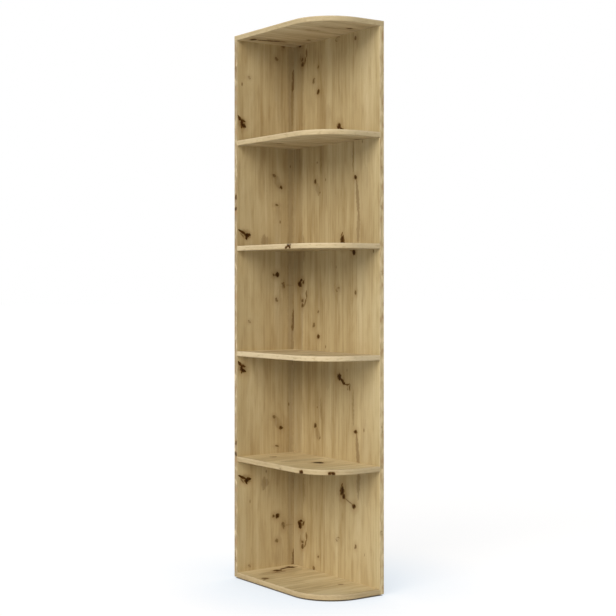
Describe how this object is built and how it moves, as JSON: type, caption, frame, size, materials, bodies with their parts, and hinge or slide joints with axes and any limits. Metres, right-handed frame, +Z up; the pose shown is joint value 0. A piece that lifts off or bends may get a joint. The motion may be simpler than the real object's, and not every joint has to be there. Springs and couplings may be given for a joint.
{
  "type": "corner shelf unit",
  "caption": "Tall narrow corner shelf unit of oak-decor board: a side and a back panel at a right angle carry a top, open shelves and a bottom, each with a rounded free corner.",
  "frame": {"origin": "on the floor under the middle of the unit's rectangular footprint", "axes": "+X from the open left side to the side panel, +Y from the open front to the back panel and the wall, +Z up"},
  "size_m": [0.245, 0.49, 1.825],
  "materials": {
    "board_decor": "matte",
    "edge_band": "matte",
    "beech_dowel": "matte",
    "zinc_steel": "satin",
    "cap_plastic": "satin",
    "glide_plastic": "satin"
  },
  "bodies": {
    "root": {"side_panel": "board_decor", "back_panel": "board_decor", "top_panel": "board_decor", "bottom_panel": "board_decor", "shelf_1": "board_decor", "shelf_2": "board_decor", "shelf_3": "board_decor", "shelf_4": "board_decor", "side_panel_band": "edge_band", "back_panel_band": "edge_band", "top_panel_front_band": "edge_band", "top_panel_end_band": "edge_band", "bottom_panel_band": "edge_band", "shelf_1_band": "edge_band", "shelf_2_band": "edge_band", "shelf_3_band": "edge_band", "shelf_4_band": "edge_band", "side_dowels": "beech_dowel", "back_dowels": "beech_dowel", "corner_dowels": "beech_dowel", "top_dowels": "beech_dowel", "side_shelf_screws": "zinc_steel", "back_shelf_screws": "zinc_steel", "corner_screws": "zinc_steel", "top_screws": "zinc_steel", "bracket_screws": "zinc_steel", "glide_nails": "zinc_steel", "wall_bracket": "zinc_steel", "side_screw_caps": "cap_plastic", "top_screw_caps": "cap_plastic", "floor_glides": "glide_plastic"}
  },
  "joints": []
}
